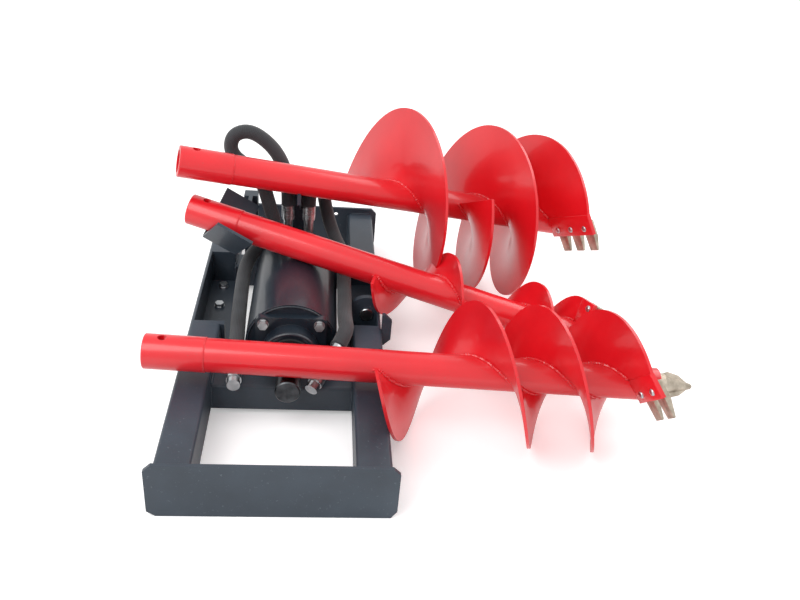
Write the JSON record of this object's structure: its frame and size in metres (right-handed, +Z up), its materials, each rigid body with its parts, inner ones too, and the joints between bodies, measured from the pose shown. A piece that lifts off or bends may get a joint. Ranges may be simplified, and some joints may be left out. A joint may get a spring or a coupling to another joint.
{
  "type": "earth auger drive",
  "caption": "Hydraulic earth auger drive lying in its steel floor frame, with three spiral augers of different widths resting across it.",
  "frame": {"origin": "middle of the near end plate's foot, on the ground", "axes": "+X to the right along the near end plate, towards the augers' tips; +Y from the near end plate to the far one; +Z up"},
  "size_m": [1.4447, 1.3734, 0.642],
  "materials": {
    "frame_paint": "satin",
    "drive_paint": "satin",
    "zinc_steel": "satin",
    "machined_steel": "satin",
    "seal_brass": "satin",
    "black_rubber": "matte",
    "hose_sleeve": "matte",
    "auger_paint": "gloss",
    "tooth_steel": "satin"
  },
  "bodies": {
    "frame": {"auger_cradle": "frame_paint", "bulkhead": "drive_paint", "cradle_arm": "frame_paint", "cross_members": "frame_paint", "dust_ring": "black_rubber", "far_end_plate": "frame_paint", "flange_bolts": "zinc_steel", "floor_bolts": "zinc_steel", "hanger_ears": "drive_paint", "hanger_pin": "machined_steel", "left_coupler": "zinc_steel", "left_hose": "hose_sleeve", "left_rail": "frame_paint", "lug_bracket": "frame_paint", "lug_pin": "zinc_steel", "motor_body": "drive_paint", "motor_cover": "drive_paint", "motor_plate": "drive_paint", "near_end_plate": "frame_paint", "nose_housing": "drive_paint", "notch_floors": "frame_paint", "notch_plates": "frame_paint", "port_fittings": "zinc_steel", "rear_plate": "drive_paint", "rest_arm": "frame_paint", "rest_posts": "frame_paint", "right_coupler": "zinc_steel", "right_hose": "hose_sleeve", "right_rail": "frame_paint", "ring_gear": "machined_steel", "shaft_bearings": "machined_steel", "shaft_seal": "seal_brass", "shroud": "drive_paint", "side_plate": "frame_paint"},
    "output": {"output_shaft": "machined_steel", "planet_carrier": "machined_steel", "planet_pins": "machined_steel"},
    "planet_1": {"planet_gear_1": "machined_steel"},
    "planet_2": {"planet_gear_2": "machined_steel"},
    "planet_3": {"planet_gear_3": "machined_steel"},
    "sun": {"sun_gear": "machined_steel", "motor_shaft": "machined_steel"},
    "upper_auger": {"upper_stem": "auger_paint", "upper_hub": "auger_paint", "upper_flights": "auger_paint", "upper_tooth_plates": "auger_paint", "upper_teeth": "tooth_steel", "upper_pilot_point": "auger_paint"},
    "lower_auger": {"lower_stem": "auger_paint", "lower_hub": "auger_paint", "lower_flights": "auger_paint", "lower_tooth_plates": "auger_paint", "lower_teeth": "tooth_steel", "lower_pilot_point": "auger_paint"},
    "middle_auger": {"middle_stem": "auger_paint", "middle_hub": "auger_paint", "middle_flights": "auger_paint", "middle_tooth_plates": "auger_paint", "middle_teeth": "tooth_steel", "middle_pilot_point": "auger_paint"}
  },
  "joints": [
    {"name": "output_spin", "type": "hinge", "parent": "frame", "child": "output", "pos_m": [0.016, 0.4, 0.125], "axis": [0, 1, 0], "continuous": true},
    {"name": "planet_1_spin", "type": "hinge", "parent": "output", "child": "planet_1", "pos_m": [-0.038, 0.582, 0.125], "axis": [0, 1, 0], "continuous": true},
    {"name": "planet_2_spin", "type": "hinge", "parent": "output", "child": "planet_2", "pos_m": [0.043, 0.582, 0.17177], "axis": [0, 1, 0], "continuous": true},
    {"name": "planet_3_spin", "type": "hinge", "parent": "output", "child": "planet_3", "pos_m": [0.043, 0.582, 0.07823], "axis": [0, 1, 0], "continuous": true},
    {"name": "sun_spin", "type": "hinge", "parent": "frame", "child": "sun", "pos_m": [0.016, 0.582, 0.125], "axis": [0, 1, 0], "continuous": true},
    {"name": "upper_auger_lift", "type": "slide", "parent": "frame", "child": "upper_auger", "axis": [0, 0, 1], "range_m": [0, 0.4]},
    {"name": "lower_auger_lift", "type": "slide", "parent": "frame", "child": "lower_auger", "axis": [0, 0, 1], "range_m": [0, 0.4]},
    {"name": "middle_auger_lift", "type": "slide", "parent": "frame", "child": "middle_auger", "axis": [0, 0, 1], "range_m": [0, 0.025]}
  ],
  "couplings": [
    {"joint": "sun_spin", "follows": "output_spin", "ratio": 4},
    {"joint": "planet_1_spin", "follows": "output_spin", "ratio": -3},
    {"joint": "planet_2_spin", "follows": "output_spin", "ratio": -3},
    {"joint": "planet_3_spin", "follows": "output_spin", "ratio": -3}
  ]
}
